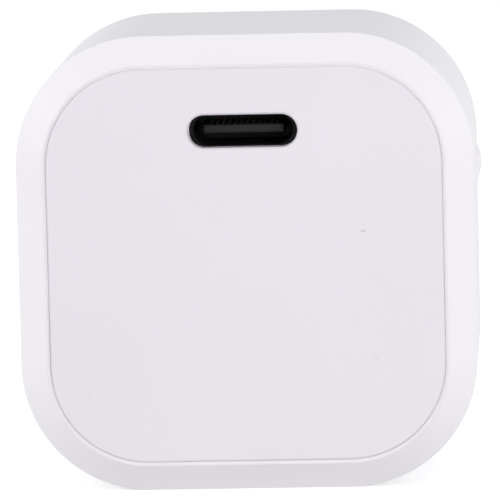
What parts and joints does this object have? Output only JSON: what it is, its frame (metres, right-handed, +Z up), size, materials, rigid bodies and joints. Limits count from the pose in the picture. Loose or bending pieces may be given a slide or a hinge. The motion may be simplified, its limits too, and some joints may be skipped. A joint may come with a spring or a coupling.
{
  "type": "laptop power adapter",
  "caption": "Compact wall-plug power adapter with a rounded square housing, an inset front plate with a USB-C port, and a flat-blade plug that folds into the back.",
  "frame": {"origin": "under the middle of the adapter, on the surface it stands on", "axes": "+Z up, -Y out of the port face, +Y out of the plug face, +X to the right as the port face is seen"},
  "size_m": [0.0392, 0.028, 0.0382],
  "materials": {
    "housing_white": "glossy white moulding",
    "plate_white": "glossy white moulding",
    "hub_white": "satin white moulding",
    "bracket_grey": "natural grey moulding",
    "blade_nickel": "nickel plated",
    "spring_bronze": "bright bronze strip",
    "spring_steel": "bright strip",
    "board_green": "green solder resist",
    "socket_steel": "satin nickel",
    "socket_black": "moulded black",
    "contact_gold": "gold flash",
    "ferrite": "dark sintered ferrite",
    "bobbin_black": "moulded black",
    "copper_wire": "enamelled copper",
    "tape_yellow": "film tape",
    "can_aluminium": "drawn can",
    "filter_yellow": "moulded box",
    "disc_blue": "dipped lacquer",
    "fuse_brown": "moulded",
    "chip_black": "moulded epoxy",
    "pad_grey": "soft filled silicone",
    "sheet_aluminium": "mill finish",
    "sheet_white": "thin film"
  },
  "bodies": {
    "case": {"shell": "housing_white", "front_plate": "plate_white", "plug_retainer": "bracket_grey", "contact_spring_line": "spring_bronze", "contact_spring_neutral": "spring_bronze", "detent_spring": "spring_steel", "main_board": "board_green", "usb_board": "board_green", "usb_shell": "socket_steel", "usb_tongue": "socket_black", "usb_midplate": "socket_steel", "usb_contacts": "contact_gold", "transformer_core_rear": "ferrite", "transformer_core_front": "ferrite", "transformer_bobbin": "bobbin_black", "transformer_winding": "copper_wire", "transformer_tape": "tape_yellow", "choke_core": "ferrite", "choke_winding_1": "copper_wire", "choke_winding_2": "copper_wire", "fuse": "fuse_brown", "x_capacitor": "filter_yellow", "varistor": "disc_blue", "safety_capacitor": "disc_blue", "insulation_sheet": "sheet_white", "bulk_capacitor_1": "can_aluminium", "bulk_capacitor_2": "can_aluminium", "output_capacitor_1": "can_aluminium", "output_capacitor_2": "can_aluminium", "switch_ic": "chip_black", "bridge_rectifier": "chip_black", "sync_rectifier": "chip_black", "pd_controller": "chip_black", "small_parts": "chip_black", "thermal_pad": "pad_grey", "heat_spreader": "sheet_aluminium"},
    "plug": {"plug_hub": "hub_white", "blade_line": "blade_nickel", "blade_neutral": "blade_nickel"}
  },
  "joints": [
    {"name": "plug_fold", "type": "hinge", "parent": "case", "child": "plug", "pos_m": [0, 0.0105, 0.0293], "axis": [1, 0, 0], "range_deg": [0, 90]}
  ]
}
